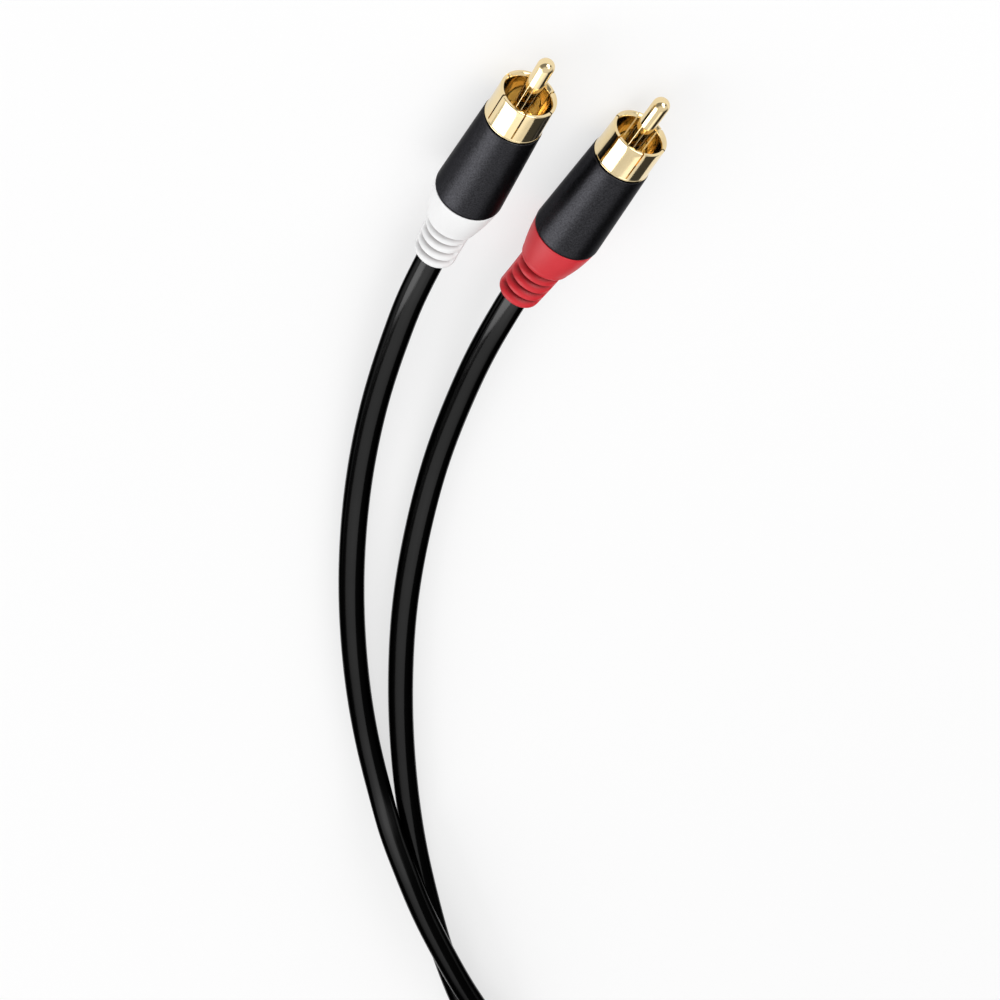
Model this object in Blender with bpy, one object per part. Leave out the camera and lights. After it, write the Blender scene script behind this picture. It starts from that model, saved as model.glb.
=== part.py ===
"""Stereo audio cable: two round leads with a phono plug on each of their four ends.

Metres, +Z up. The cable lies on the floor, z = 0. Its near plugs point to -Y, and the spare
length is wound into a round coil at +Y, beside the two far plugs. A plug is built along its own
+Z, from its boot to the tip of its pin, with z = 0 at the front edge of its shell.
"""
import math

import bmesh
import bpy
from mathutils import Matrix, Vector

MM = 0.001
CLEAR = 0.3 * MM

# Centre pin
PIN_R = 1.59 * MM
PIN_REACH = 8.85 * MM
SHANK_R = 1.2 * MM
CUP_R = 1.25 * MM
CUP_BORE_R = 0.75 * MM
CUP_LENGTH = 2.4 * MM
CUP_DEPTH = 2.0 * MM

# Ground ring
RING_LENGTH = 7.2 * MM
RING_R = 5.25 * MM
RING_BASE_R = 5.38 * MM
RING_BORE_R = 4.25 * MM
RING_LIP = 0.2 * MM
RIM_WIDTH = 0.35 * MM
MOUTH_DEPTH = 0.9 * MM
COLLAR_R = 5.46 * MM
COLLAR_LENGTH = 0.3 * MM
SOCKET_DEPTH = 1.3 * MM
SHOULDER_R = 4.7 * MM
SHOULDER_LENGTH = 1.9 * MM
NECK_R = 4.2 * MM
NECK_LENGTH = 5.0 * MM
SLIT_COUNT = 6
SLIT_WIDTH = 0.3 * MM
SLIT_LEFT = 0.2 * MM

# Insulator
INSULATOR_R = 2.9 * MM

# Shell
SHELL_LENGTH = 20.7 * MM
SHELL_FRONT_R = 5.58 * MM
SHELL_REAR_R = 6.4 * MM
SHELL_ROUNDING = 0.8 * MM
SHELL_REAR_DROP = 0.1 * MM
SHELL_BORE_R = 4.5 * MM
SHELL_TAIL_BORE_R = 4.9 * MM
SHELL_EDGE = 0.15 * MM

# Boot
NOSE_LENGTH = 5.0 * MM
CONE_LENGTH = 7.8 * MM
CONE_STEP = 0.12 * MM
CONE_FRONT_R = SHELL_REAR_R - CONE_STEP
CONE_REAR_R = 4.95 * MM
# Shares of the cone's length, and of its narrowing at each of them
CONE_PROFILE = ((0.0, 0.0), (0.35, 0.2), (0.67, 0.62), (0.9, 1.0))
TAIL_FRONT_R = 4.25 * MM
TAIL_REAR_R = 4.0 * MM
TAIL_ROUNDING = 0.7 * MM
TAIL_EDGE_DROP = 0.42 * MM
GROOVE_COUNT = 4
GROOVE_PITCH = 2.3 * MM
GROOVE_DEPTH = 0.75 * MM
GROOVE_FIRST = 0.2 * MM
GROOVE_WALL = 0.3 * MM
GROOVE_RAMP = 0.6 * GROOVE_PITCH
TAIL_BAND = 0.62 * MM
GROOVE_ROLL = math.radians(22)
GROOVE_HALF_ARC = math.radians(72)
SPINE_BLEND = math.radians(9)
GROOVES_LENGTH = GROOVE_FIRST + (GROOVE_COUNT - 1) * GROOVE_PITCH + GROOVE_RAMP
BOOT_LENGTH = CONE_LENGTH + GROOVES_LENGTH + TAIL_BAND + TAIL_ROUNDING

# Lead and what is stripped bare at its ends
LEAD_R = 2.65 * MM
CONDUCTOR_R = 0.45 * MM
CONDUCTOR_LENGTH = 3.0 * MM
DIELECTRIC_R = 1.3 * MM
DIELECTRIC_LENGTH = 2.3 * MM
SHIELD_WALL = 0.35 * MM
SHIELD_LENGTH = 1.5 * MM
LEAD_STEP = 4.8 * LEAD_R
FINE_STEP = 0.2 * MM
FLOOR_GAP = 0.05 * MM

# Ground clamp
CLAMP_WALL = 0.55 * MM
WASHER_BORE_R = 2.2 * MM
TONGUE_WIDTH = 2.4 * MM

# Coil of the spare length, and its tie
COIL_X = 10.05 * MM
COIL_Y = 145.55 * MM
COIL_MIDDLE_R = 12 * LEAD_R
COIL_COLUMNS = 4
COIL_LAYERS = 2
TIE_WALL = 0.6 * MM
TIE_WIDTH = 6.0 * MM
TIE_ANGLE = math.radians(300)

# Places along a plug, worked out from the sizes above
LIP = RING_LENGTH
PIN_TIP = LIP + PIN_REACH
COLLAR_FRONT = CLEAR + COLLAR_LENGTH
SEAT = -SOCKET_DEPTH
INSULATOR_FRONT = SEAT - CLEAR
INSULATOR_REAR = -NECK_LENGTH + CLEAR
CUP_FRONT = -NECK_LENGTH - 2 * CLEAR
CUP_REAR = CUP_FRONT - CUP_LENGTH
CONDUCTOR_FRONT = CUP_REAR + CUP_DEPTH - CLEAR
CONDUCTOR_REAR = CONDUCTOR_FRONT - CONDUCTOR_LENGTH
DIELECTRIC_FRONT = CONDUCTOR_REAR - CLEAR
DIELECTRIC_REAR = DIELECTRIC_FRONT - DIELECTRIC_LENGTH
JACKET_END = DIELECTRIC_REAR - CLEAR
CRIMP_FRONT = JACKET_END - CLEAR
WASHER_FRONT = -NECK_LENGTH - CLEAR
SHELL_REAR = -SHELL_LENGTH
NOSE_FRONT = SHELL_REAR + NOSE_LENGTH
CRIMP_REAR = NOSE_FRONT + 2 * CLEAR
BOOT_SHOULDER = SHELL_REAR - CLEAR
BOOT_END = SHELL_REAR - BOOT_LENGTH
BOOT_BORE_R = LEAD_R + CLEAR
SHELL_MOUTH_R = SHOULDER_R + CLEAR
CONE_LEAN = math.atan2(SHELL_REAR_R - SHELL_FRONT_R, SHELL_LENGTH - SHELL_ROUNDING)
RAISED = math.radians(1.45)

LEAD_D = 2 * LEAD_R
COIL_INNER_R = COIL_MIDDLE_R - COIL_COLUMNS / 2 * LEAD_D
COIL_OUTER_R = COIL_MIDDLE_R + COIL_COLUMNS / 2 * LEAD_D
COIL_HEIGHT = COIL_LAYERS * LEAD_D
COIL_BASE = TIE_WALL + CLEAR + FLOOR_GAP

# Each plug: the middle of its ring's mouth, the compass angle of its pin, how far its nose
# leans down, how far its boot bends to one side, and how its ring is turned
PLUGS = {
    "white_near": dict(at=(2.99, -239.9), heading=247.72, lean=-RAISED, bend=-0.45 * MM, roll=7),
    "red_near": dict(at=(-16.45, -228.17), heading=243.14, lean=CONE_LEAN, bend=0.76 * MM, roll=-3),
    "white_far": dict(at=(12.3, 236.1), heading=64.0, lean=CONE_LEAN, bend=0.0, roll=20),
    "red_far": dict(at=(-12.6, 237.8), heading=82.0, lean=CONE_LEAN, bend=0.0, roll=41),
}

# Route points in millimetres, from the near boots to the coil and from the coil to the far boots
WHITE_ROUTE = [
    (24.4, -184.1, 5.8), (27.5, -171.9, 5.1), (31.6, -152.5, 3.8), (35.1, -129.7, 2.8),
    (37.7, -100.2, 2.7), (38.2, -68.9, 2.7), (36.4, -35.8, 2.8), (34.2, -18.1, 3.95),
    (32.0, -5.2, 6.15), (29.0, 9.0, 7.65), (25.6, 25.0, 8.15), (20.7, 44.7, 8.1),
    (14.9, 66.3, 7.0), (9.9, 82.8, 5.2), (2.2, 98.4, 3.9), (-9.8, 111.1, 3.6),
]
RED_ROUTE = [
    (8.0, -179.9, 7.0), (11.2, -170.0, 6.0), (15.7, -153.2, 4.3), (20.3, -133.0, 2.9),
    (24.3, -110.2, 2.7), (27.2, -86.5, 2.7), (28.8, -58.1, 2.7), (28.8, -27.9, 2.7),
    (27.4, 0.0, 2.7), (24.4, 29.5, 2.7), (21.4, 51.5, 2.7), (17.1, 74.5, 2.7),
    (11.4, 97.5, 3.0), (-4.5, 114.3, 3.6),
]
WHITE_TAIL = [(-23.2, 154.5, 8.9), (-19.9, 166.0, 8.7), (-15.8, 177.3, 7.9), (-11.4, 187.4, 7.1)]
RED_TAIL = [(-28.3, 155.8, 8.9), (-24.9, 167.9, 8.7), (-21.9, 178.4, 7.7), (-19.85, 187.2, 7.0)]

FINISHES = {
    "gold": ((0.83, 0.62, 0.30), 0.12, 1.0),
    "black_coat": ((0.012, 0.012, 0.014), 0.42, 0.0),
    "white_rubber": ((0.86, 0.86, 0.86), 0.5, 0.0),
    "red_rubber": ((0.60, 0.015, 0.03), 0.45, 0.0),
    "black_jacket": ((0.004, 0.004, 0.005), 0.3, 0.0),
    "white_plastic": ((0.8, 0.8, 0.77), 0.4, 0.0),
    "copper": ((0.70, 0.33, 0.18), 0.3, 1.0),
    "tinned_copper": ((0.62, 0.60, 0.57), 0.35, 1.0),
    "clear_core": ((0.78, 0.78, 0.72), 0.35, 0.0),
    "tie_strap": ((0.02, 0.02, 0.022), 0.8, 0.0),
}


def clear_scene():
    for thing in list(bpy.data.objects):
        bpy.data.objects.remove(thing, do_unlink=True)


def make_finishes():
    made = {}
    for name, (colour, roughness, metallic) in FINISHES.items():
        material = bpy.data.materials.new(name)
        material.use_nodes = True
        shader = material.node_tree.nodes["Principled BSDF"]
        shader.inputs["Base Color"].default_value = (*colour, 1)
        shader.inputs["Roughness"].default_value = roughness
        shader.inputs["Metallic"].default_value = metallic
        made[name] = material
    return made


def mesh_from(name, bm):
    bmesh.ops.recalc_face_normals(bm, faces=bm.faces)
    mesh = bpy.data.meshes.new(name)
    bm.to_mesh(mesh)
    bm.free()
    mesh.shade_smooth()
    mesh.set_sharp_from_angle(angle=math.radians(32))
    return mesh


def add_object(name, data, finish, parent=None):
    thing = bpy.data.objects.new(name, data)
    data.materials.clear()
    data.materials.append(finish)
    bpy.context.scene.collection.objects.link(thing)
    thing.parent = parent
    return thing


def turned(name, rows, sides, radius_at=None):
    """A body of revolution about Z. Rows are (z, radius), all round its section. A first and last
    row of radius 0 close it at the axis. radius_at(row, angle) may change a row's radius."""
    bm = bmesh.new()
    loops = []
    for number, (z, radius) in enumerate(rows):
        if radius == 0:
            loops.append([bm.verts.new((0, 0, z))])
            continue
        loop = []
        for side in range(sides):
            angle = 2 * math.pi * side / sides
            r = radius_at(number, angle) if radius_at else radius
            loop.append(bm.verts.new((r * math.sin(angle), r * math.cos(angle), z)))
        loops.append(loop)
    pairs = list(zip(loops, loops[1:]))
    if len(loops[0]) > 1:
        pairs.append((loops[-1], loops[0]))
    for here, there in pairs:
        for side in range(sides):
            after = (side + 1) % sides
            corners = [
                here[side % len(here)], here[after % len(here)],
                there[after % len(there)], there[side % len(there)],
            ]
            bm.faces.new(list(dict.fromkeys(corners)))
    return mesh_from(name, bm)


def pin_mesh():
    dome = [
        (PIN_TIP - PIN_R + PIN_R * math.cos(a), PIN_R * math.sin(a))
        for a in (math.radians(22.5 * k) for k in range(1, 5))
    ]
    return turned("centre_pin", [
        (PIN_TIP, 0), *dome,
        (SEAT, PIN_R), (SEAT, SHANK_R), (CUP_FRONT, SHANK_R), (CUP_FRONT, CUP_R), (CUP_REAR, CUP_R),
        (CUP_REAR, CUP_BORE_R), (CUP_REAR + CUP_DEPTH, CUP_BORE_R), (CUP_REAR + CUP_DEPTH, 0),
    ], 20)


def slit_cutter():
    """Thin plates through the axis: each cuts two slits, from the mouth almost to the collar."""
    bm = bmesh.new()
    low = COLLAR_FRONT + SLIT_LEFT
    high = LIP + RING_R
    for number in range(SLIT_COUNT // 2):
        plate = bmesh.ops.create_cube(bm, size=1)["verts"]
        bmesh.ops.scale(bm, verts=plate, vec=(SLIT_WIDTH, 3 * RING_R, high - low))
        bmesh.ops.translate(bm, verts=plate, vec=(0, 0, (high + low) / 2))
        turn = Matrix.Rotation(-2 * math.pi * number / SLIT_COUNT, 3, "Z")
        bmesh.ops.rotate(bm, verts=plate, cent=(0, 0, 0), matrix=turn)
    return mesh_from("slit_cutter", bm)


def ring_mesh(cutter):
    whole = turned("ground_ring", [
        (LIP, RING_R - RING_LIP), (LIP - RING_LIP, RING_R),
        (COLLAR_FRONT, RING_BASE_R), (COLLAR_FRONT, COLLAR_R), (CLEAR, COLLAR_R),
        (CLEAR, SHOULDER_R), (-SHOULDER_LENGTH, SHOULDER_R), (-SHOULDER_LENGTH, NECK_R),
        (-NECK_LENGTH, NECK_R), (-NECK_LENGTH, INSULATOR_R + CLEAR),
        (SEAT, INSULATOR_R + CLEAR), (SEAT, RING_BORE_R),
        (LIP - MOUTH_DEPTH, RING_BORE_R), (LIP, RING_R - RING_LIP - RIM_WIDTH),
    ], 36)
    return joined(whole, cutter, "DIFFERENCE")


def joined(mesh, other, operation):
    """The mesh with another cut from it, or added to it."""
    body = bpy.data.objects.new("body", mesh)
    tool = bpy.data.objects.new("tool", other)
    tool.hide_render = True
    tool.display_type = "WIRE"
    for thing in (body, tool):
        bpy.context.scene.collection.objects.link(thing)
    change = body.modifiers.new("change", "BOOLEAN")
    change.operation = operation
    change.solver = "EXACT"
    change.use_self = operation == "DIFFERENCE"
    change.object = tool
    graph = bpy.context.evaluated_depsgraph_get()
    result = bpy.data.meshes.new_from_object(body.evaluated_get(graph))
    for thing in (body, tool):
        bpy.data.objects.remove(thing, do_unlink=True)
    result.name = mesh.name
    return result


def insulator_mesh():
    bore = SHANK_R + CLEAR
    return turned("insulator", [
        (INSULATOR_FRONT, bore), (INSULATOR_FRONT, INSULATOR_R),
        (INSULATOR_REAR, INSULATOR_R), (INSULATOR_REAR, bore),
    ], 20)


def clamp_mesh():
    """A washer behind the ring's neck, a tongue back to the jacket, and the crimp round it."""
    inner = LEAD_R + CLEAR
    outer = inner + CLAMP_WALL
    rear = WASHER_FRONT - CLAMP_WALL
    washer = turned("ground_clamp", [
        (WASHER_FRONT, WASHER_BORE_R), (WASHER_FRONT, NECK_R - CLEAR / 2),
        (rear, NECK_R - CLEAR / 2), (rear, WASHER_BORE_R),
    ], 16)
    crimp = turned("crimp", [
        (CRIMP_FRONT, inner), (CRIMP_FRONT, outer),
        (CRIMP_REAR, outer), (CRIMP_REAR, inner),
    ], 16)
    bm = bmesh.new()
    tongue = bmesh.ops.create_cube(bm, size=1)["verts"]
    front = WASHER_FRONT - CLAMP_WALL / 2
    back = CRIMP_FRONT - CLAMP_WALL
    low = inner + CLEAR / 3
    bmesh.ops.scale(bm, verts=tongue, vec=(TONGUE_WIDTH, outer + CLEAR - low, front - back))
    bmesh.ops.translate(bm, verts=tongue, vec=(0, (outer + CLEAR + low) / 2, (front + back) / 2))
    strip = mesh_from("tongue", bm)
    return joined(joined(washer, strip, "UNION"), crimp, "UNION")


def rod_mesh(name, front, rear, radius, sides=16):
    return turned(name, [(front, 0), (front, radius), (rear, radius), (rear, 0)], sides)


def shield_mesh():
    inner = DIELECTRIC_R + CLEAR
    outer = inner + SHIELD_WALL
    front = DIELECTRIC_REAR + SHIELD_LENGTH
    return turned("shield", [
        (front, inner), (front, outer), (DIELECTRIC_REAR, outer), (DIELECTRIC_REAR, inner),
    ], 16)


def shell_mesh():
    step = -SHOULDER_LENGTH - CLEAR
    tail_bore = NOSE_FRONT + CLEAR
    widest = SHELL_REAR + SHELL_ROUNDING
    return turned("shell", [
        (0, SHELL_FRONT_R - SHELL_EDGE), (-SHELL_EDGE, SHELL_FRONT_R), (widest, SHELL_REAR_R),
        (SHELL_REAR + SHELL_ROUNDING / 3, SHELL_REAR_R - SHELL_REAR_DROP / 3),
        (SHELL_REAR, SHELL_REAR_R - SHELL_REAR_DROP),
        (SHELL_REAR, SHELL_TAIL_BORE_R), (tail_bore, SHELL_TAIL_BORE_R),
        (tail_bore, SHELL_BORE_R), (step, SHELL_BORE_R), (step, SHELL_MOUTH_R), (0, SHELL_MOUTH_R),
    ], 32)


def boot_rows():
    """(z, radius, groove depth) along the boot's outside, from its nose to its tail end."""
    nose_r = SHELL_TAIL_BORE_R - CLEAR
    foot = BOOT_SHOULDER - CONE_LENGTH
    rows = [(NOSE_FRONT, nose_r, 0), (BOOT_SHOULDER, nose_r, 0)]
    for along, narrowing in CONE_PROFILE:
        radius = CONE_FRONT_R - narrowing * (CONE_FRONT_R - CONE_REAR_R)
        rows.append((BOOT_SHOULDER - along * CONE_LENGTH, radius, 0))
    rows.append((foot, TAIL_FRONT_R, 0))
    tail_length = foot - BOOT_END

    def tail_r(z):
        return TAIL_FRONT_R + (TAIL_REAR_R - TAIL_FRONT_R) * (foot - z) / tail_length

    for number in range(GROOVE_COUNT):
        deepest = foot - GROOVE_FIRST - number * GROOVE_PITCH
        ramp = deepest - GROOVE_RAMP
        rows.append((deepest + GROOVE_WALL, tail_r(deepest + GROOVE_WALL), 0))
        rows.append((deepest, tail_r(deepest), GROOVE_DEPTH))
        rows.append((ramp, tail_r(ramp), 0))
    rows.append((BOOT_END + TAIL_ROUNDING, tail_r(BOOT_END + TAIL_ROUNDING), 0))
    rows.append((BOOT_END, TAIL_REAR_R - TAIL_EDGE_DROP, 0))
    return rows


def in_groove(angle):
    """1 where the grooves are deep, 0 on the two spines between them."""
    off = abs((angle - GROOVE_ROLL + math.pi / 2) % math.pi - math.pi / 2)
    share = (GROOVE_HALF_ARC - off) / SPINE_BLEND
    share = min(max(share, 0), 1)
    return share * share * (3 - 2 * share)


def sideways(z, bend):
    """How far the boot, and the lead inside it, bend to one side at z."""
    along = max(0.0, (SHELL_REAR - z) / BOOT_LENGTH)
    return bend * along**2


def boot_mesh(bend):
    rows = boot_rows() + [(z, BOOT_BORE_R, 0) for z in (BOOT_END, SHELL_REAR, NOSE_FRONT)]

    def radius_at(number, angle):
        return rows[number][1] - rows[number][2] * in_groove(angle)

    mesh = turned("boot", [row[:2] for row in rows], 24, radius_at)
    for vertex in mesh.vertices:
        vertex.co.x += sideways(vertex.co.z, bend)
    return mesh


def plug_matrix(plug):
    """From the plug's own frame to the world: its widest rim or its cone's side on the floor."""
    heading = math.radians(plug["heading"])
    lean = plug["lean"]
    forward = Vector((
        math.cos(heading) * math.cos(lean), math.sin(heading) * math.cos(lean), -math.sin(lean),
    ))
    side = Vector((-forward.y, forward.x, 0)).normalized()
    up = forward.cross(side)
    widest = SHELL_REAR + SHELL_ROUNDING
    height = SHELL_REAR_R * math.cos(lean) + FLOOR_GAP
    mouth = Vector((plug["at"][0] * MM, plug["at"][1] * MM, height + (LIP - widest) * forward.z))
    turn = Matrix((side, up, forward)).transposed().to_4x4()
    return Matrix.Translation(mouth - forward * LIP) @ turn


def add_plug(name, plug, shared, finishes):
    colour = name.split("_")[0]
    holder = bpy.data.objects.new(name + "_plug", None)
    bpy.context.scene.collection.objects.link(holder)
    holder.matrix_world = plug_matrix(plug)
    for piece, finish in (
        ("centre_pin", "gold"), ("insulator", "white_plastic"), ("ground_ring", "gold"),
        ("ground_clamp", "tinned_copper"), ("conductor", "copper"), ("dielectric", "clear_core"),
        ("shield", "tinned_copper"), ("shell", "black_coat"),
    ):
        thing = add_object(f"{name}_{piece}", shared[piece], finishes[finish], holder)
        if piece == "ground_ring":
            thing.rotation_euler.z = -math.radians(plug["roll"])
    add_object(name + "_boot", boot_mesh(plug["bend"]), finishes[colour + "_rubber"], holder)


def inside_plug(plug):
    """The lead's middle inside a plug, from the end of its jacket to the end of the boot."""
    place = plug_matrix(plug)
    stations = [JACKET_END, (JACKET_END + SHELL_REAR) / 2, SHELL_REAR]
    stations += [SHELL_REAR - BOOT_LENGTH / 2, BOOT_END]
    return [place @ Vector((sideways(z, plug["bend"]), 0, z)) for z in stations]


def smooth_curve(points, step):
    """Points about a step apart on a smooth curve through the given ones."""
    gaps = [(b - a).length for a, b in zip(points, points[1:])]
    slopes = [(b - a) / gap for a, b, gap in zip(points, points[1:], gaps)]
    tangents = [slopes[0]]
    for before, after, g0, g1 in zip(slopes, slopes[1:], gaps, gaps[1:]):
        tangents.append((before * g1 + after * g0) / (g0 + g1))
    tangents.append(slopes[-1])
    curve = []
    for number, gap in enumerate(gaps):
        count = max(1, round(gap / step))
        for part in range(count):
            t = part / count
            curve.append(
                points[number] * (2 * t**3 - 3 * t**2 + 1)
                + points[number + 1] * (3 * t**2 - 2 * t**3)
                + tangents[number] * gap * (t**3 - 2 * t**2 + t)
                + tangents[number + 1] * gap * (t**3 - t**2)
            )
    return curve + [points[-1]]


def evenly(points, step):
    """Points an even distance apart, about a step, along a fine line."""
    run = [0.0]
    for a, b in zip(points, points[1:]):
        run.append(run[-1] + (b - a).length)
    count = max(1, round(run[-1] / step))
    spaced = []
    at = 0
    for number in range(count + 1):
        goal = run[-1] * number / count
        while at < len(run) - 2 and run[at + 1] < goal:
            at += 1
        share = (goal - run[at]) / (run[at + 1] - run[at])
        spaced.append(points[at].lerp(points[at + 1], share))
    return spaced


def outside_coil(points):
    """The stretch of a line whose tube stays clear of the coil's solid."""
    limit = COIL_OUTER_R + CLEAR
    kept = []
    for before, here, after in zip(points, points[1:], points[2:]):
        across = (after - before).cross(Vector((0, 0, 1))).normalized() * LEAD_R
        off = Vector((here.x - COIL_X, here.y - COIL_Y, 0))
        if min((off - across).length, (off + across).length) > limit:
            kept.append(here)
    return kept


def add_tube(name, points, finish):
    curve = bpy.data.curves.new(name, "CURVE")
    curve.dimensions = "3D"
    curve.bevel_depth = LEAD_R
    curve.bevel_resolution = 3
    curve.use_fill_caps = True
    spline = curve.splines.new("POLY")
    spline.points.add(len(points) - 1)
    for point, place in zip(spline.points, points):
        point.co = (*place, 1)
    return add_object(name, curve, finish)


def add_leads(finishes):
    for colour, route, tail in (("white", WHITE_ROUTE, WHITE_TAIL), ("red", RED_ROUTE, RED_TAIL)):
        run = inside_plug(PLUGS[colour + "_near"]) + [Vector(p) * MM for p in route]
        end = [Vector(p) * MM for p in tail] + inside_plug(PLUGS[colour + "_far"])[::-1]
        for name, points in ((colour + "_lead", run), (colour + "_tail", end)):
            fine = outside_coil(smooth_curve(points, FINE_STEP))
            add_tube(name, evenly(fine, LEAD_STEP), finishes["black_jacket"])


def add_coil(finishes):
    ring = turned("lead_coil", [
        (COIL_BASE, COIL_INNER_R), (COIL_BASE + COIL_HEIGHT, COIL_INNER_R),
        (COIL_BASE + COIL_HEIGHT, COIL_OUTER_R), (COIL_BASE, COIL_OUTER_R),
    ], 48)
    coil = add_object("lead_coil", ring, finishes["black_jacket"])
    coil.location = (COIL_X, COIL_Y, 0)


def rounded_box(width, height, corner):
    """Points round a rectangle with rounded corners, centred on nothing."""
    points = []
    for quarter, (sx, sy) in enumerate(((1, 1), (-1, 1), (-1, -1), (1, -1))):
        for step in range(4):
            angle = math.pi / 2 * (quarter + step / 3)
            points.append((
                sx * (width / 2 - corner) + corner * math.cos(angle),
                sy * (height / 2 - corner) + corner * math.sin(angle),
            ))
    return points


def add_tie(finishes):
    """A strap round the coil's section, with square inside corners clear of the coil's solid."""
    inner_w = COIL_OUTER_R - COIL_INNER_R + 2 * CLEAR
    inner_h = COIL_HEIGHT + 2 * CLEAR
    corner = TIE_WALL / 2
    inside = rounded_box(inner_w, inner_h, corner / 4)
    outside = rounded_box(inner_w + 2 * TIE_WALL, inner_h + 2 * TIE_WALL, corner)
    bm = bmesh.new()
    loops = []
    for outline, side in ((inside, -1), (outside, -1), (outside, 1), (inside, 1)):
        loops.append([bm.verts.new((x, side * TIE_WIDTH / 2, y)) for x, y in outline])
    count = len(inside)
    for here, there in zip(loops, loops[1:] + loops[:1]):
        for number in range(count):
            after = (number + 1) % count
            bm.faces.new((here[number], here[after], there[after], there[number]))
    tie = add_object("coil_tie", mesh_from("coil_tie", bm), finishes["tie_strap"])
    tie.location = (
        COIL_X + COIL_MIDDLE_R * math.cos(TIE_ANGLE),
        COIL_Y + COIL_MIDDLE_R * math.sin(TIE_ANGLE),
        COIL_BASE + COIL_HEIGHT / 2,
    )
    tie.rotation_euler.z = TIE_ANGLE


def main():
    clear_scene()
    finishes = make_finishes()
    shared = {
        "centre_pin": pin_mesh(),
        "insulator": insulator_mesh(),
        "ground_ring": ring_mesh(slit_cutter()),
        "ground_clamp": clamp_mesh(),
        "conductor": rod_mesh("conductor", CONDUCTOR_FRONT, CONDUCTOR_REAR, CONDUCTOR_R, 12),
        "dielectric": rod_mesh("dielectric", DIELECTRIC_FRONT, DIELECTRIC_REAR, DIELECTRIC_R),
        "shield": shield_mesh(),
        "shell": shell_mesh(),
    }
    for name, plug in PLUGS.items():
        add_plug(name, plug, shared, finishes)
    add_leads(finishes)
    add_coil(finishes)
    add_tie(finishes)


main()
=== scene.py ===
import math

import bpy
from mathutils import Matrix, Vector


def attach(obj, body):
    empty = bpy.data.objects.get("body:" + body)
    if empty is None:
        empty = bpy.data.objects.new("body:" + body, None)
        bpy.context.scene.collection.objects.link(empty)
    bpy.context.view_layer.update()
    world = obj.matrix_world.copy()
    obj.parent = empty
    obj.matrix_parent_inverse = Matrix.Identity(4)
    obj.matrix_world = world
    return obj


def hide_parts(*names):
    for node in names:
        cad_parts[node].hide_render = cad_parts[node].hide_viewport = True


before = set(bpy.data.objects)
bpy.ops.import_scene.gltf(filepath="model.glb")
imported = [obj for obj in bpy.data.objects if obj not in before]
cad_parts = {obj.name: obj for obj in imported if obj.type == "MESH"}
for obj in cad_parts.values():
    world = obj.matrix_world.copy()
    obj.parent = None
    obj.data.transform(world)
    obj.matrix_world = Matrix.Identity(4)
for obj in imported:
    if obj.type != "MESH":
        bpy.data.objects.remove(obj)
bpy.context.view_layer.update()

MM = 0.001

# Sizes shared with the part's source
CLEAR = 0.3 * MM
PIN_R = 1.59 * MM
PIN_REACH = 8.85 * MM
SHANK_R = 1.2 * MM
RING_LENGTH = 7.2 * MM
RING_R = 5.25 * MM
RING_BASE_R = 5.38 * MM
RING_BORE_R = 4.25 * MM
RING_LIP = 0.2 * MM
RIM_WIDTH = 0.35 * MM
MOUTH_DEPTH = 0.9 * MM
COLLAR_R = 5.46 * MM
COLLAR_LENGTH = 0.3 * MM
SOCKET_DEPTH = 1.3 * MM
SHOULDER_R = 4.7 * MM
SHOULDER_LENGTH = 1.9 * MM
NECK_R = 4.2 * MM
NECK_LENGTH = 5.0 * MM
SLIT_COUNT = 6
SLIT_WIDTH = 0.3 * MM
SLIT_LEFT = 0.2 * MM
INSULATOR_R = 2.9 * MM
SHELL_LENGTH = 20.7 * MM
SHELL_FRONT_R = 5.58 * MM
SHELL_REAR_R = 6.4 * MM
SHELL_ROUNDING = 0.8 * MM
SHELL_REAR_DROP = 0.1 * MM
SHELL_BORE_R = 4.5 * MM
SHELL_TAIL_BORE_R = 4.9 * MM
SHELL_EDGE = 0.15 * MM
NOSE_LENGTH = 5.0 * MM
CONE_LENGTH = 7.8 * MM
CONE_STEP = 0.12 * MM
CONE_FRONT_R = SHELL_REAR_R - CONE_STEP
CONE_REAR_R = 4.95 * MM
TAIL_FRONT_R = 4.25 * MM
TAIL_REAR_R = 4.0 * MM
TAIL_ROUNDING = 0.7 * MM
GROOVE_COUNT = 4
GROOVE_PITCH = 2.3 * MM
GROOVE_DEPTH = 0.75 * MM
GROOVE_FIRST = 0.2 * MM
GROOVE_WALL = 0.3 * MM
GROOVE_RAMP = 0.6 * GROOVE_PITCH
TAIL_BAND = 0.62 * MM
GROOVE_ROLL = math.radians(22)
GROOVE_HALF_ARC = math.radians(72)
SPINE_BLEND = math.radians(9)
GROOVES_LENGTH = GROOVE_FIRST + (GROOVE_COUNT - 1) * GROOVE_PITCH + GROOVE_RAMP
BOOT_LENGTH = CONE_LENGTH + GROOVES_LENGTH + TAIL_BAND + TAIL_ROUNDING
LEAD_R = 2.65 * MM
LEAD_D = 2 * LEAD_R
FLOOR_GAP = 0.05 * MM
COIL_X = 10.05 * MM
COIL_Y = 145.55 * MM
COIL_MIDDLE_R = 12 * LEAD_R
COIL_COLUMNS = 4
COIL_LAYERS = 2
TIE_WALL = 0.6 * MM
TIE_WIDTH = 6.0 * MM
TIE_ANGLE = math.radians(300)

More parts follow.
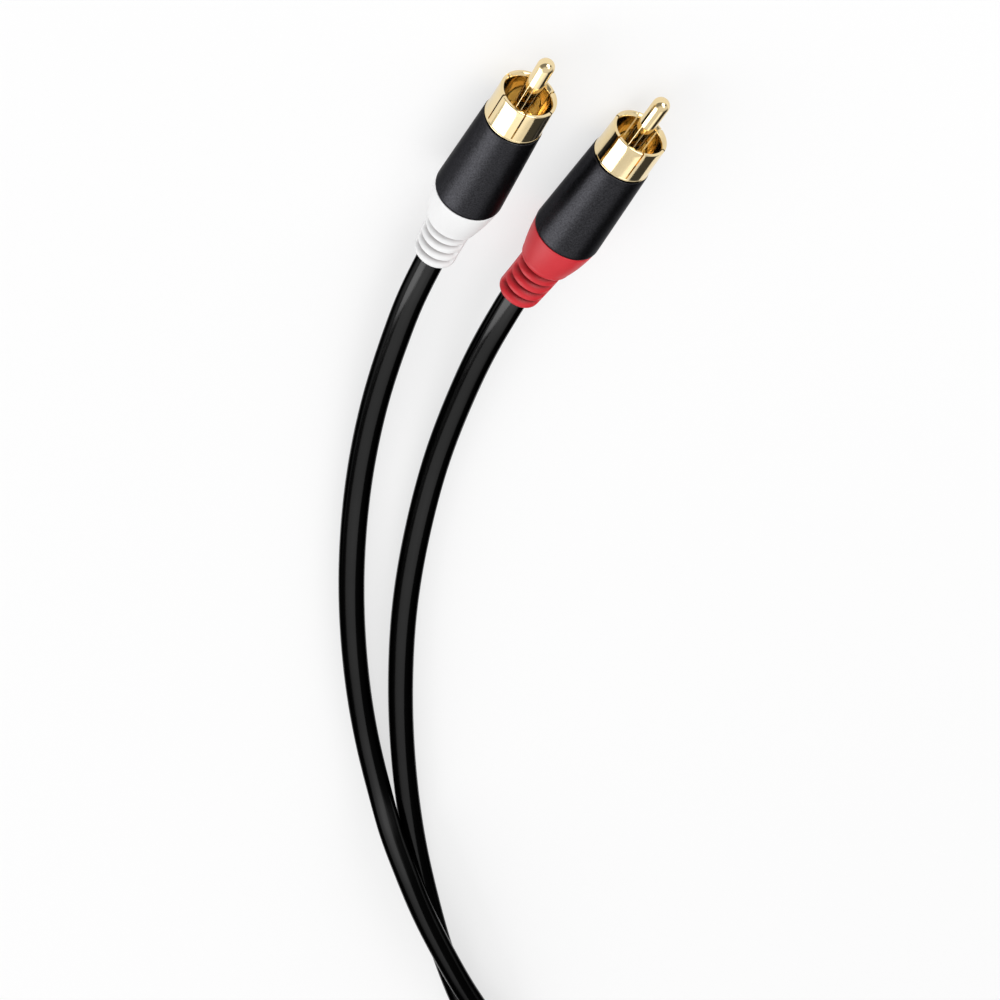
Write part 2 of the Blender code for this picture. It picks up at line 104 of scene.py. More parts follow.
# Finer sizes of the render's own shapes
SIDES = 96
PIN_SIDES = 64
PIN_FLAT = 8
MOUTH_EDGE = 0.04 * MM
COLLAR_EDGE = 0.05 * MM
COLLAR_SLOPE = 0.12 * MM
COLLAR_FOOT = 0.03 * MM
PETAL_COLUMNS = 16
CONE_EDGE = 0.12 * MM
CONE_ROWS = 18
CONE_START = 0.035
CONE_SPAN = 0.865
CONE_SLOPE = 0.45
CONE_CURVE = 0.73
TAIL_STEP = 0.09 * MM
GROOVE_REACH = 1.2
GROOVE_CURVE = 2.2
GROOVE_DEEPER = 1.45
# The name of each point's amount of painted shade towards the bottom of the boot's grooves
PAINTED_GROOVE_SHADE = "painted_shade_depth"
CORD_STEP = 1.5 * MM
CORD_ROUNDNESS = 6
TIE_CORNER = 1.5 * MM
TIE_CORNER_STEPS = 10
TIE_SOFT = 0.12 * MM
# Edges sharper than these angles in degrees stay sharp
TURNED_SHARP = 40
RING_SHARP = 38
TIE_SHARP = 30

# Places along a plug
LIP = RING_LENGTH
PIN_TIP = LIP + PIN_REACH
COLLAR_FRONT = CLEAR + COLLAR_LENGTH
SEAT = -SOCKET_DEPTH
CUP_FRONT = -NECK_LENGTH - 2 * CLEAR
SHELL_REAR = -SHELL_LENGTH
NOSE_FRONT = SHELL_REAR + NOSE_LENGTH
BOOT_SHOULDER = SHELL_REAR - CLEAR
BOOT_END = SHELL_REAR - BOOT_LENGTH
SEAM = 0.06 * MM
BOOT_BORE_R = LEAD_R + SEAM
CONE_LEAN = math.atan2(SHELL_REAR_R - SHELL_FRONT_R, SHELL_LENGTH - SHELL_ROUNDING)
RAISED = math.radians(1.45)
COIL_HEIGHT = COIL_LAYERS * LEAD_D
COIL_BASE = TIE_WALL + CLEAR + FLOOR_GAP

PLUGS = {
    "white_near": dict(at=(2.99, -239.9), heading=247.72, lean=-RAISED, bend=-0.45 * MM, roll=7),
    "red_near": dict(at=(-16.45, -228.17), heading=243.14, lean=CONE_LEAN, bend=0.76 * MM, roll=-3),
    "white_far": dict(at=(12.3, 236.1), heading=64.0, lean=CONE_LEAN, bend=0.0, roll=20),
    "red_far": dict(at=(-12.6, 237.8), heading=82.0, lean=CONE_LEAN, bend=0.0, roll=41),
}
WHITE_ROUTE = [
    (24.4, -184.1, 5.8), (27.5, -171.9, 5.1), (31.6, -152.5, 3.8), (35.1, -129.7, 2.8),
    (37.7, -100.2, 2.7), (38.2, -68.9, 2.7), (36.4, -35.8, 2.8), (34.2, -18.1, 3.95),
    (32.0, -5.2, 6.15), (29.0, 9.0, 7.65), (25.6, 25.0, 8.15), (20.7, 44.7, 8.1),
    (14.9, 66.3, 7.0), (9.9, 82.8, 5.2), (2.2, 98.4, 3.9),
]
RED_ROUTE = [
    (8.0, -179.9, 7.0), (11.2, -170.0, 6.0), (15.7, -153.2, 4.3), (20.3, -133.0, 2.9),
    (24.3, -110.2, 2.7), (27.2, -86.5, 2.7), (28.8, -58.1, 2.7), (28.8, -27.9, 2.7),
    (27.4, 0.0, 2.7), (24.4, 29.5, 2.7), (21.4, 51.5, 2.7), (17.1, 74.5, 2.7),
    (11.4, 97.5, 3.0),
]
WHITE_TAIL = [(-19.9, 166.0, 8.7), (-15.8, 177.3, 7.9), (-11.4, 187.4, 7.1)]
RED_TAIL = [(-24.9, 167.9, 8.7), (-21.9, 178.4, 7.7), (-19.85, 187.2, 7.0)]

# How the pair is wound, clockwise from above, in degrees of travel from polar 245: the polar
# angle where each lead enters, its column from the coil's centre in its first turn, in lead
# diameters, and the stretches where it moves by so many columns or climbs to the top layer
WINDING = {
    "white": dict(enters=240, column=7.5, climb=(548, 642), shifts=(
        (180, 360, -2), (440, 560, -1), (800, 1020, 2))),
    "red": dict(enters=245, column=6.5, climb=(365, 452), shifts=(
        (180, 360, -2), (440, 560, 1), (800, 1020, 2))),
}
TRAVEL_START = 245
COIL_EXIT = 165 - 3 * 360
BOTTOM = 3.6 * MM
COIL_STEP = 15

# The photograph's view
ELEVATION = math.radians(37.5)
DISTANCE = 0.7575
AIM = Vector((0.008, -0.1165, 0.0))
LENS = 138.0
SENSOR = 36.0
CLIP_START = 0.05

# The floor, and how much of its own shading gives way to plain white where it is seen
FLOOR_HALF = 4.0
PALENESS = 0.65

# The world's brightness, and its drop low down behind the object, with the share of that in front.
# Each part starts at a coordinate of the direction and sets in at a rate.
SKY_LEVEL = 0.83
SKY_DROP = 0.78
AHEAD_SHARE = 0.75
BEHIND_FROM = 0.25
BEHIND_RISE = 3.0
AHEAD_FROM = -0.1
AHEAD_RISE = 4.0
LOW_BELOW = 0.85
LOW_RISE = 4.0

# The softboxes: angles in degrees, sizes in metres
PANELS = {
    "back_panel": dict(
        azimuth=14.0, elevation=40.0, distance=1.4, width=1.5, height=0.95, radiance=0.8),
    "side_panel": dict(
        azimuth=73.0, elevation=28.0, distance=1.35, width=0.95, height=1.0, radiance=3.1),
    "front_panel": dict(
        azimuth=-150.0, elevation=21.0, distance=1.2, width=0.65, height=0.55, radiance=6.0),
    "mouth_panel": dict(
        azimuth=-132.0, elevation=38.0, distance=1.3, width=0.6, height=0.6, radiance=2.4),
}


class Value:
    """A shader socket that can be written into arithmetic. Each step adds a Math node."""

    def __init__(self, paint, socket):
        self.paint = paint
        self.socket = socket

    def maths(self, operation, *others, clamp=False):
        node = self.paint.tree.nodes.new("ShaderNodeMath")
        node.operation = operation
        node.use_clamp = clamp
        for slot, value in zip(node.inputs, others):
            self.paint.feed(slot, value)
        return Value(self.paint, node.outputs[0])

    def __add__(self, other):
        return self.maths("ADD", self, other)

    def __radd__(self, other):
        return self.maths("ADD", other, self)

    def __sub__(self, other):
        return self.maths("SUBTRACT", self, other)

    def __rsub__(self, other):
        return self.maths("SUBTRACT", other, self)

    def __mul__(self, other):
        return self.maths("MULTIPLY", self, other)

    def __rmul__(self, other):
        return self.maths("MULTIPLY", other, self)

    def clamped(self):
        return self.maths("ADD", self, 0.0, clamp=True)

    def sine(self):
        return self.maths("SINE", self)


class Painter:
    """Makes and links the nodes of one tree."""

    def __init__(self, tree):
        self.tree = tree

    def feed(self, slot, value):
        if isinstance(value, Value):
            self.tree.links.new(value.socket, slot)
        else:
            slot.default_value = value

    def node(self, kind, settings=None, output=0, **sockets):
        """One output of a new node. Settings come first, then its sockets by name."""
        node = self.tree.nodes.new(kind)
        for key, value in (settings or {}).items():
            setattr(node, key, value)
        for key, value in sockets.items():
            slot = node.inputs[int(key[1:]) if key[1:].isdigit() else key.replace("_", " ")]
            self.feed(slot, value)
        return Value(self, node.outputs[output])

    def place(self):
        """The point in the object's own coordinates, which are the world's, in metres."""
        return self.node("ShaderNodeTexCoord", output=3)

    def noise(self, scale, detail):
        return self.node(
            "ShaderNodeTexNoise", Vector=self.place(), Scale=scale, Detail=detail,
        )

    def outputs(self, value):
        """Every output of the node that a value comes from, by name."""
        return {out.name: Value(self, out) for out in value.socket.node.outputs}

    def parts(self, vector):
        return self.outputs(self.node("ShaderNodeSeparateXYZ", _0=vector)).values()

    def mix(self, factor, low, high):
        """A colour from low to high. Both are colours or values."""
        return self.node(
            "ShaderNodeMix", {"data_type": "RGBA"}, output=2, _0=factor,
            _6=(*low, 1) if isinstance(low, tuple) else low,
            _7=(*high, 1) if isinstance(high, tuple) else high,
        )


class Paint(Painter):
    """A material and the nodes that feed its Principled shader."""

    def __init__(self, name, colour, roughness, **constants):
        self.material = bpy.data.materials.new(name)
        self.material.use_nodes = True
        super().__init__(self.material.node_tree)
        self.shader = self.tree.nodes["Principled BSDF"]
        self.put("Base Color", (*colour, 1))
        self.put("Roughness", roughness)
        for key, value in constants.items():
            self.put(key.replace("_", " "), value)

    def put(self, socket, value):
        self.feed(self.shader.inputs[socket], value)

    def bump(self, height, strength, distance):
        self.put("Normal", self.node(
            "ShaderNodeBump", Height=height, Strength=strength, Distance=distance,
        ))


def gold():
    paint = Paint("pale_gold", (0.86, 0.69, 0.40), 0.1, Metallic=1.0)
    cloud = paint.noise(240.0, 3.0)
    fine = paint.noise(5200.0, 2.0)
    paint.put("Roughness", 0.05 + 0.07 * cloud + 0.03 * fine)
    paint.put("Base Color", paint.mix(cloud, (0.84, 0.65, 0.35), (0.90, 0.75, 0.46)))
    paint.bump(fine * 0.4 + cloud, 0.12, 0.02 * MM)
    return paint.material


def shell_coat():
    paint = Paint("black_satin_coat", (0.028, 0.028, 0.031), 0.34, Metallic=1.0)
    paint.put("Specular Tint", (0.45, 0.45, 0.45, 1))
    grain = paint.noise(3600.0, 3.0)
    cloud = paint.noise(300.0, 2.0)
    paint.put("Roughness", 0.24 + 0.16 * grain + 0.04 * cloud)
    paint.put("Base Color", paint.mix(
        (grain * 2.6 - 0.8).clamped(), (0.019, 0.019, 0.021), (0.044, 0.044, 0.049)))
    paint.bump(grain, 0.55, 0.05 * MM)
    return paint.material


def rubber(name, low, high, painted_groove_shade, roughness):
    """Moulded rubber, with painted shade that makes it darker towards the bottom of the boot's
    grooves.
    """
    paint = Paint(name, low, roughness, IOR=1.45)
    depth = paint.node("ShaderNodeAttribute", {"attribute_name": PAINTED_GROOVE_SHADE}, output=2)
    cloud = paint.noise(260.0, 3.0)
    grain = paint.noise(3800.0, 2.0)
    # The colour goes from the rubber's own towards its painted shade colour where the grooves are
    # deep
    paint.put("Base Color", paint.mix(depth.clamped(), paint.mix(cloud, low, high), painted_groove_shade))
    paint.put("Roughness", roughness - 0.05 + 0.1 * grain + 0.04 * cloud)
    paint.bump(grain + 0.6 * cloud, 0.2, 0.03 * MM)
    return paint.material


def jacket():
    paint = Paint("black_jacket", (0.022, 0.022, 0.022), 0.16, Metallic=1.0)
    paint.put("Specular Tint", (0.3, 0.3, 0.3, 1))
    grain = paint.noise(3000.0, 2.0)
    cloud = paint.noise(120.0, 2.0)
    paint.put("Roughness", 0.12 + 0.05 * grain + 0.04 * cloud)
    paint.put("Base Color", paint.mix(cloud, (0.036, 0.036, 0.036), (0.040, 0.040, 0.040)))
    paint.bump(cloud + 0.3 * grain, 0.08, 0.04 * MM)
    return paint.material


def strap():
    """A woven hook-and-loop strap: short ribs across it, with a fuzzy grain."""
    paint = Paint("woven_strap", (0.018, 0.018, 0.02), 0.85, IOR=1.4)
    x, y, z = paint.parts(paint.place())
    ribs = (x * 5200.0).sine() * (y * 5200.0).sine() + (z * 5200.0).sine()
    fuzz = paint.noise(4200.0, 3.0)
    paint.put("Base Color", paint.mix(fuzz, (0.010, 0.010, 0.011), (0.035, 0.035, 0.038)))
    paint.put("Roughness", 0.75 + 0.2 * fuzz)
    paint.bump(ribs * 0.3 + fuzz, 0.6, 0.15 * MM)
    return paint.material


def plain(name, low, high, roughness, **constants):
    paint = Paint(name, low, roughness, **constants)
    cloud = paint.noise(900.0, 3.0)
    paint.put("Base Color", paint.mix(cloud, low, high))
    paint.put("Roughness", roughness - 0.04 + 0.08 * cloud)
    paint.bump(cloud, 0.15, 0.03 * MM)
    return paint.material


MATERIALS = {
    "gold": gold(),
    "shell": shell_coat(),
    # Each rubber's third colour is the painted shade at the bottom of its boot's grooves
    "white_boot": rubber(
        "white_rubber", (0.82, 0.82, 0.82), (0.86, 0.86, 0.86), (0.52, 0.50, 0.50), 0.5),
    "red_boot": rubber(
        "red_rubber", (0.55, 0.010, 0.020), (0.62, 0.016, 0.026), (0.26, 0.003, 0.008), 0.45),
    "jacket": jacket(),
    "insulator": plain("amber_plastic", (0.88, 0.64, 0.20), (0.94, 0.72, 0.28), 0.25),
    "tinned_metal": plain(
        "tinned_metal", (0.58, 0.56, 0.53), (0.66, 0.64, 0.61), 0.32, Metallic=1.0),
    "copper": plain(
        "bright_copper", (0.66, 0.31, 0.17), (0.74, 0.37, 0.22), 0.28, Metallic=1.0),
    "core": plain("clear_core", (0.74, 0.74, 0.68), (0.80, 0.80, 0.75), 0.35),
    "tie": strap(),
}
# The finish of each piece inside a plug
INNER_SLOTS = {
    "insulator": "insulator", "ground_clamp": "tinned_metal", "conductor": "copper",
    "dielectric": "core", "shield": "tinned_metal",
}


def plug_matrix(plug):
    """From the plug's own frame to the world: its widest rim or its cone's side on the floor."""
    heading = math.radians(plug["heading"])
    lean = plug["lean"]
    forward = Vector((
        math.cos(heading) * math.cos(lean), math.sin(heading) * math.cos(lean), -math.sin(lean),
    ))
    side = Vector((-forward.y, forward.x, 0)).normalized()
    up = forward.cross(side)
    widest = SHELL_REAR + SHELL_ROUNDING
    height = SHELL_REAR_R * math.cos(lean) + FLOOR_GAP
    mouth = Vector((plug["at"][0] * MM, plug["at"][1] * MM, height + (LIP - widest) * forward.z))
    turn = Matrix((side, up, forward)).transposed().to_4x4()
    return Matrix.Translation(mouth - forward * LIP) @ turn


def add_piece(name, mesh, slot, nodes, matrix=None):
    piece = bpy.data.objects.new(name, mesh)
    bpy.context.scene.collection.objects.link(piece)
    mesh.materials.clear()
    mesh.materials.append(MATERIALS[slot])
    if matrix is not None:
        mesh.transform(matrix)
    bpy.context.view_layer.update()
    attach(piece, "root")
    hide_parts(*nodes)
    return piece


def finish_mesh(name, points, faces, angle):
    """A mesh that is smooth except at edges sharper than the angle, in degrees."""
    mesh = bpy.data.meshes.new(name)
    mesh.from_pydata(points, [], faces)
    mesh.validate()
    mesh.update()
    mesh.shade_smooth()
    mesh.set_sharp_from_angle(angle=math.radians(angle))
    return mesh


def turned(name, rows, sides, radius_at=None):
    """A body of revolution about Z, like the one in the part's source."""
    points = []
    loops = []
    for number, row in enumerate(rows):
        z, radius = row[0], row[1]
        if radius == 0:
            loops.append([len(points)])
            points.append((0, 0, z))
            continue
        loop = []
        for side in range(sides):
            turn = 2 * math.pi * side / sides
            r = radius_at(number, turn) if radius_at else radius
            loop.append(len(points))
            points.append((r * math.sin(turn), r * math.cos(turn), z))
        loops.append(loop)
    pairs = list(zip(loops, loops[1:]))
    if len(loops[0]) > 1:
        pairs.append((loops[-1], loops[0]))
    faces = []
    for here, there in pairs:
        for side in range(sides):
            after = (side + 1) % sides
            corners = [
                here[side % len(here)], there[side % len(there)],
                there[after % len(there)], here[after % len(here)],
            ]
            faces.append(list(dict.fromkeys(corners)))
    return finish_mesh(name, points, faces, TURNED_SHARP)


def arc(centre, radius, start, stop, count):
    """(z, r) points of a rounding, angles in degrees from +z towards +r."""
    made = []
    for number in range(count + 1):
        turn = math.radians(start + (stop - start) * number / count)
        made.append((centre[0] + radius * math.cos(turn), centre[1] + radius * math.sin(turn)))
    return made


def smooth(share):
    share = min(max(share, 0.0), 1.0)
    return share * share * (3 - 2 * share)


def pin_mesh():
    rows = [(PIN_TIP, 0)] + arc((PIN_TIP - PIN_R, 0), PIN_R, PIN_FLAT, 90, 12)
    rows += [(SEAT, PIN_R), (SEAT, SHANK_R), (CUP_FRONT, SHANK_R), (CUP_FRONT, 0)]
    return turned("pin", rows, PIN_SIDES)


def shell_mesh():
    edge = SHELL_EDGE
    widest = SHELL_REAR + SHELL_ROUNDING
    rows = [(0, SHOULDER_R + CLEAR)]
    rows += arc((-edge, SHELL_FRONT_R - edge), edge, 0, 90, 4)
    for number in range(1, 12):
        share = number / 12
        radius = SHELL_FRONT_R + (SHELL_REAR_R - SHELL_FRONT_R) * share
        rows.append((-edge + (widest + edge) * share, radius))
    for number in range(9):
        share = number / 8
        drop = SHELL_REAR_DROP * share**3
        rows.append((widest - (SHELL_ROUNDING - edge) * share, SHELL_REAR_R - drop))
    rows += arc((SHELL_REAR + edge, SHELL_REAR_R - SHELL_REAR_DROP - edge), edge, 90, 180, 4)
    tail_bore = NOSE_FRONT + CLEAR
    step = -SHOULDER_LENGTH - CLEAR
    rows += [
        (SHELL_REAR, SHELL_TAIL_BORE_R), (tail_bore, SHELL_TAIL_BORE_R), (tail_bore, SHELL_BORE_R),
        (step, SHELL_BORE_R), (step, SHOULDER_R + CLEAR),
    ]
    return turned("shell", rows, SIDES)


def ring_mesh():
    """The slit ground ring: six petals on a round base."""
    bottom = COLLAR_FRONT + SLIT_LEFT
    mouth_r = RING_R - RING_LIP - RIM_WIDTH
    outer = []
    for number in range(7):
        z = bottom + (LIP - RING_LIP - bottom) * number / 6
        share = (z - COLLAR_FRONT) / (LIP - RING_LIP - COLLAR_FRONT)
        outer.append((z, RING_BASE_R + (RING_R - RING_BASE_R) * share))
    outer += arc((LIP - RING_LIP, RING_R - RING_LIP), RING_LIP, 75, 0, 5)
    inner = [(LIP, mouth_r + MOUTH_EDGE), (LIP - MOUTH_EDGE, mouth_r)]
    for number in range(1, 5):
        share = number / 4
        widening = math.sin(share * math.pi / 2)
        inner.append((
            LIP - MOUTH_EDGE - (MOUTH_DEPTH - MOUTH_EDGE) * share,
            mouth_r + (RING_BORE_R - mouth_r) * widening,
        ))
    inner += [((LIP - MOUTH_DEPTH + bottom) / 2, RING_BORE_R), (bottom, RING_BORE_R)]
    petal = outer + inner
    base = [
        (SEAT, RING_BORE_R), (SEAT, INSULATOR_R + CLEAR), (-NECK_LENGTH, INSULATOR_R + CLEAR),
        (-NECK_LENGTH, NECK_R), (-SHOULDER_LENGTH, NECK_R), (-SHOULDER_LENGTH, SHOULDER_R),
        (CLEAR, SHOULDER_R), (CLEAR, COLLAR_R - COLLAR_EDGE), (CLEAR + COLLAR_EDGE, COLLAR_R),
        (COLLAR_FRONT - COLLAR_SLOPE, COLLAR_R),
        (COLLAR_FRONT - COLLAR_FOOT, COLLAR_R - COLLAR_EDGE), (COLLAR_FRONT, RING_BASE_R),
    ]
    rows = petal + base
    columns = PETAL_COLUMNS
    points = []
    grid = []
    for sector in range(SLIT_COUNT):
        left = 2 * math.pi * sector / SLIT_COUNT
        right = 2 * math.pi * (sector + 1) / SLIT_COUNT
        for column in range(columns + 1):
            line = []
            for z, r in rows:
                half = math.asin(SLIT_WIDTH / 2 / r)
                low, high = left + half, right - half
                turn = low + (high - low) * column / columns
                line.append(len(points))
                points.append((r * math.sin(turn), r * math.cos(turn), z))
            grid.append(line)
    faces = []
    petal_rows = len(petal)
    for column, here in enumerate(grid):
        there = grid[(column + 1) % len(grid)]
        in_slit = column % (columns + 1) == columns
        for number in range(len(rows)):
            following = (number + 1) % len(rows)
            if in_slit and number < petal_rows - 1:
                continue
            faces.append([here[number], here[following], there[following], there[number]])
        if in_slit:
            faces.append(here[:petal_rows][::-1])
            faces.append(there[:petal_rows])
            faces.append([here[0], here[petal_rows - 1], there[petal_rows - 1], there[0]])
    return finish_mesh("ring", points, faces, RING_SHARP)


def boot_rows():
    """(z, radius, groove depth) along the boot, finer than in the part's source."""
    nose_r = SHELL_TAIL_BORE_R - CLEAR
    foot = BOOT_SHOULDER - CONE_LENGTH
    shoulder = SHELL_REAR - SEAM
    edge = CONE_EDGE
    rows = [(NOSE_FRONT, nose_r, 0), (shoulder, nose_r, 0)]
    rows += [(z, r, 0) for z, r in arc((shoulder - edge, CONE_FRONT_R - edge), edge, 0, 80, 4)]
    for number in range(1, CONE_ROWS + 1):
        share = CONE_START + CONE_SPAN * number / CONE_ROWS
        narrowing = CONE_SLOPE * share + CONE_CURVE * share**2
        radius = CONE_FRONT_R - min(narrowing, 1.0) * (CONE_FRONT_R - CONE_REAR_R)
        rows.append((shoulder - share * CONE_LENGTH, radius, 0))
    step_z, step_r = rows[-1][0], rows[-1][1]
    for number in range(1, 9):
        share = number / 8
        z = step_z + (foot - step_z) * share
        height = (step_r - TAIL_FRONT_R) * math.sqrt(max(0.0, 1 - share**2))
        rows.append((z, TAIL_FRONT_R + height, 0))
    tail_length = foot - BOOT_END

    def tail_r(z):
        return TAIL_FRONT_R + (TAIL_REAR_R - TAIL_FRONT_R) * (foot - z) / tail_length

    z = foot
    end = BOOT_END + TAIL_ROUNDING
    while z - TAIL_STEP > end:
        z -= TAIL_STEP
        depth = 0.0
        for number in range(GROOVE_COUNT):
            deepest = foot - GROOVE_FIRST - number * GROOVE_PITCH
            behind = (deepest - z) / GROOVE_RAMP
            if z >= deepest:
                depth = max(depth, 1 - (z - deepest) / GROOVE_WALL)
            elif behind < GROOVE_REACH:
                depth = max(depth, min(1.0, GROOVE_REACH - behind) ** GROOVE_CURVE)
        rows.append((z, tail_r(z), GROOVE_DEEPER * GROOVE_DEPTH * max(0.0, depth)))
    rounding = arc((end, tail_r(end) - TAIL_ROUNDING), TAIL_ROUNDING, 90, 180, 8)
    rows += [(z, r, 0) for z, r in rounding]
    return rows


def in_groove(angle):
    """1 where the grooves are deep, 0 on the two spines between them."""
    off = abs((angle - GROOVE_ROLL + math.pi / 2) % math.pi - math.pi / 2)
    return smooth((GROOVE_HALF_ARC - off) / SPINE_BLEND)


def sideways(z, bend):
    """How far the boot, and the lead inside it, bend to one side at z."""
    along = max(0.0, (SHELL_REAR - z) / BOOT_LENGTH)
    return bend * along**2


def boot_mesh(bend):
    rows = boot_rows() + [(z, BOOT_BORE_R, 0) for z in (BOOT_END, SHELL_REAR, NOSE_FRONT)]

    def radius_at(number, angle):
        return rows[number][1] - rows[number][2] * in_groove(angle)

    mesh = turned("boot", rows, SIDES, radius_at)
    # Painted shade: each point's share of the groove depth, which darkens the rubber's colour in
    # the grooves
    shades = mesh.attributes.new(PAINTED_GROOVE_SHADE, "FLOAT", "POINT")
    for number, row in enumerate(rows):
        for side in range(SIDES):
            shade = row[2] / GROOVE_DEPTH * in_groove(2 * math.pi * side / SIDES)
            shades.data[SIDES * number + side].value = shade
    for vertex in mesh.vertices:
        vertex.co.x += sideways(vertex.co.z, bend)
    return mesh


def inside_plug(plug):
    """Three points on the lead's middle in a plug's boot, from the shell's rear to the end."""
    place = plug_matrix(plug)
    stations = [SHELL_REAR, SHELL_REAR - BOOT_LENGTH / 2, BOOT_END]
    return [place @ Vector((sideways(z, plug["bend"]), 0, z)) for z in stations]


def smooth_curve(points, step):
    """Points about a step apart on a smooth curve through the given ones."""
    gaps = [(b - a).length for a, b in zip(points, points[1:])]
    slopes = [(b - a) / gap for a, b, gap in zip(points, points[1:], gaps)]
    tangents = [slopes[0]]
    for before, after, g0, g1 in zip(slopes, slopes[1:], gaps, gaps[1:]):
        tangents.append((before * g1 + after * g0) / (g0 + g1))
    tangents.append(slopes[-1])
    curve = []
    for number, gap in enumerate(gaps):
        count = max(1, round(gap / step))
        for part in range(count):
            t = part / count
            curve.append(
                points[number] * (2 * t**3 - 3 * t**2 + 1)
                + points[number + 1] * (3 * t**2 - 2 * t**3)
                + tangents[number] * gap * (t**3 - 2 * t**2 + t)
                + tangents[number + 1] * gap * (t**3 - t**2)
            )
    return curve + [points[-1]]


def coil_points(colour):
    """The turns of one lead: one on the floor, an inner one that climbs to the top layer, and a
    third that moves out again and leaves."""
    winding = WINDING[colour]
    first = winding["enters"]
    count = round((first - COIL_EXIT) / COIL_STEP)
    points = []
    for number in range(count + 1):
        polar = first + (COIL_EXIT - first) * number / count
        travel = TRAVEL_START - polar
        column = winding["column"]
        for start, stop, columns in winding["shifts"]:
            column += columns * smooth((travel - start) / (stop - start))
        start, stop = winding["climb"]
        climb = smooth((travel - start) / (stop - start))
        angle = math.radians(polar)
        points.append(Vector((
            COIL_X + column * LEAD_D * math.cos(angle),
            COIL_Y + column * LEAD_D * math.sin(angle), BOTTOM + climb * LEAD_D,
        )))
    return points


def add_lead(colour, route, tail, with_pieces):
    """One lead from plug to plug, as a round cord."""
    near, far = PLUGS[colour + "_near"], PLUGS[colour + "_far"]
    run = inside_plug(near)[1:] + [Vector(p) * MM for p in route] + coil_points(colour)
    run += [Vector(p) * MM for p in tail] + inside_plug(far)[::-1][:2]
    fine = smooth_curve(run, CORD_STEP)
    curve = bpy.data.curves.new(colour + "_cord", "CURVE")
    curve.dimensions = "3D"
    curve.bevel_depth = LEAD_R
    curve.bevel_resolution = CORD_ROUNDNESS
    curve.use_fill_caps = True
    spline = curve.splines.new("POLY")
    spline.points.add(len(fine) - 1)
    for point, place in zip(spline.points, fine):
        point.co = (*place, 1)
    piece = add_piece(
        colour + "_cord", curve, "jacket", [colour + "_lead", colour + "_tail", "lead_coil"],
    )
    length = sum((b - a).length for a, b in zip(fine, fine[1:]))
    tuple(inside_plug(near)[-1])


def add_tie():
    """A strap round the coil, with rounded corners and softened sides."""
    reach = COIL_COLUMNS * LEAD_D + 2 * CLEAR
    height = COIL_HEIGHT + 2 * CLEAR

    def outline(wide, high, r):
        made = []
        for quarter, (sx, sy) in enumerate(((1, 1), (-1, 1), (-1, -1), (1, -1))):
            for step in range(TIE_CORNER_STEPS + 1):
                turn = math.pi / 2 * (quarter + step / TIE_CORNER_STEPS)
                made.append((
                    sx * (wide / 2 - r) + r * math.cos(turn),
                    sy * (high / 2 - r) + r * math.sin(turn),
                ))
        return made

    inside = outline(reach, height, TIE_CORNER)
    outside = outline(reach + 2 * TIE_WALL, height + 2 * TIE_WALL, TIE_CORNER + TIE_WALL)
    half = TIE_WIDTH / 2
    sections = []
    for (xi, yi), (xo, yo) in zip(inside, outside):
        sections.append([
            (xi, -half, yi), (xo, -half + TIE_SOFT, yo), (xo, 0, yo), (xo, half - TIE_SOFT, yo),
            (xi, half, yi), (xi, 0, yi),
        ])
    points = [p for section in sections for p in section]
    width = len(sections[0])
    faces = []
    for number in range(len(sections)):
        here, there = number * width, (number + 1) % len(sections) * width
        for side in range(width):
            following = (side + 1) % width
            faces.append([here + side, here + following, there + following, there + side])
    mesh = finish_mesh("tie", points, faces, TIE_SHARP)
    place = Matrix.Translation((
        COIL_X + COIL_MIDDLE_R * math.cos(TIE_ANGLE),
        COIL_Y + COIL_MIDDLE_R * math.sin(TIE_ANGLE),
        COIL_BASE + COIL_HEIGHT / 2,
    )) @ Matrix.Rotation(TIE_ANGLE, 4, "Z")
    return add_piece("coil_strap", mesh, "tie", ["coil_tie"], place)


pieces = {}
for name, plug in PLUGS.items():
    colour = name.split("_")[0]
    place = plug_matrix(plug)
    roll = Matrix.Rotation(-math.radians(plug["roll"]), 4, "Z")
    pieces[name] = [
        add_piece(name + "_pin_fine", pin_mesh(), "gold", [name + "_centre_pin"], place),
        add_piece(name + "_ring_fine", ring_mesh(), "gold", [name + "_ground_ring"], place @ roll),
        add_piece(name + "_shell_fine", shell_mesh(), "shell", [name + "_shell"], place),
        add_piece(
            name + "_boot_fine", boot_mesh(plug["bend"]), colour + "_boot", [name + "_boot"], place,
        ),
    ]
    for node, slot in INNER_SLOTS.items():
        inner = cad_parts[f"{name}_{node}"]
        for material_slot in inner.material_slots:
            material_slot.material = MATERIALS[slot]

tie = add_tie()
add_lead("white", WHITE_ROUTE, WHITE_TAIL, pieces["white_far"] + [tie])
add_lead("red", RED_ROUTE, RED_TAIL, pieces["red_far"])


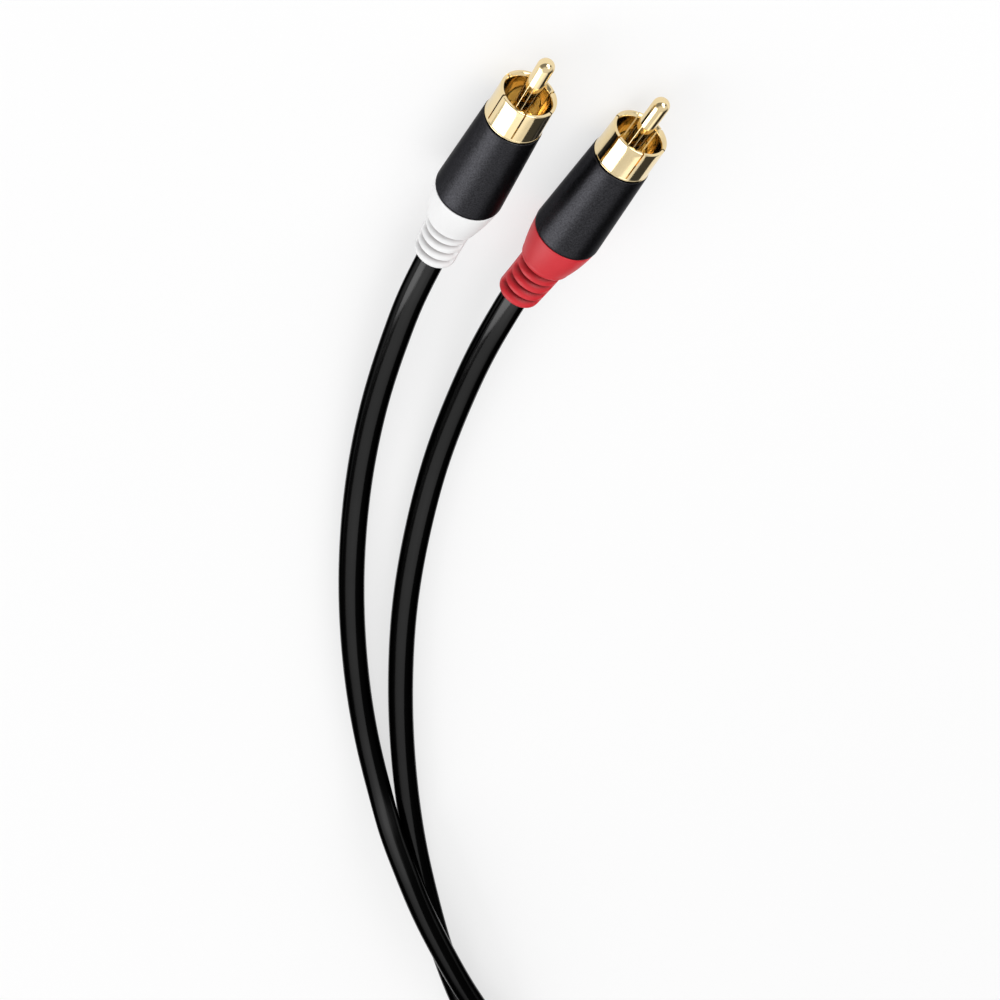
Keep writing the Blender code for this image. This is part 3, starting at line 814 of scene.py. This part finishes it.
def add_floor():
    """A plain floor that keeps the object's shadow and is paler where it is seen."""
    mesh = bpy.data.meshes.new("floor")
    half = FLOOR_HALF
    corners = [(-half, -half, 0), (half, -half, 0), (half, half, 0), (-half, half, 0)]
    mesh.from_pydata(corners, [], [(0, 1, 2, 3)])
    floor = bpy.data.objects.new("floor", mesh)
    bpy.context.scene.collection.objects.link(floor)
    paint = Paint("white_floor", (0.86, 0.86, 0.86), 0.9)
    paint.put("Specular IOR Level", 0.0)
    rays = paint.outputs(paint.node("ShaderNodeLightPath"))
    seen = rays["Is Camera Ray"] + rays["Is Glossy Ray"] + rays["Is Transmission Ray"]
    floor_shader = paint.node(
        "ShaderNodeMixShader", _0=seen.clamped() * PALENESS,
        _1=Value(paint, paint.shader.outputs[0]), _2=paint.node("ShaderNodeEmission"),
    )
    paint.feed(paint.tree.nodes["Material Output"].inputs[0], floor_shader)
    mesh.materials.append(paint.material)


def add_panel(name, azimuth, elevation, distance, width, height, radiance):
    """A softbox that faces the object. Its azimuth is from +Y towards +X."""
    a, e = math.radians(azimuth), math.radians(elevation)
    way = Vector((math.sin(a) * math.cos(e), math.cos(a) * math.cos(e), math.sin(e)))
    light = bpy.data.lights.new(name, "AREA")
    light.shape = "RECTANGLE"
    light.size = width
    light.size_y = height
    light.energy = radiance * math.pi * width * height
    panel = bpy.data.objects.new(name, light)
    bpy.context.scene.collection.objects.link(panel)
    panel.location = AIM + way * distance
    panel.rotation_euler = way.to_track_quat("Z", "Y").to_euler()


def add_world():
    """Pale overhead and at the sides, darker low down behind and in front, as the gold and the
    leads show it."""
    world = bpy.data.worlds.new("studio")
    world.use_nodes = True
    tree = world.node_tree
    background = tree.nodes["Background"]
    paint = Painter(tree)
    x, y, z = paint.parts(paint.node("ShaderNodeTexCoord", output=0))
    behind = ((y - BEHIND_FROM) * BEHIND_RISE).clamped()
    ahead = ((AHEAD_FROM - y) * AHEAD_RISE).clamped()
    low = ((LOW_BELOW - z) * LOW_RISE).clamped()
    background.inputs["Color"].default_value = (1, 1, 1, 1)
    dark = behind * low + AHEAD_SHARE * ahead * low
    paint.feed(background.inputs["Strength"], SKY_LEVEL - SKY_DROP * dark)
    bpy.context.scene.world = world


def add_camera():
    """The photograph's view: from -Y, rolled so that +X points left in the picture."""
    data = bpy.data.cameras.new("photo_view")
    data.lens = LENS
    data.sensor_width = SENSOR
    data.clip_start = CLIP_START
    camera = bpy.data.objects.new("photo_view", data)
    bpy.context.scene.collection.objects.link(camera)
    s, c = math.sin(ELEVATION), math.cos(ELEVATION)
    turn = Matrix(((-1, 0, 0), (0, -s, -c), (0, -c, s)))
    camera.matrix_world = Matrix.Translation(AIM + DISTANCE * Vector((0, -c, s))) @ turn.to_4x4()
    bpy.context.scene.camera = camera


add_floor()
add_world()
for name, panel in PANELS.items():
    add_panel(name, **panel)
add_camera()
bpy.context.scene.view_settings.view_transform = "Standard"
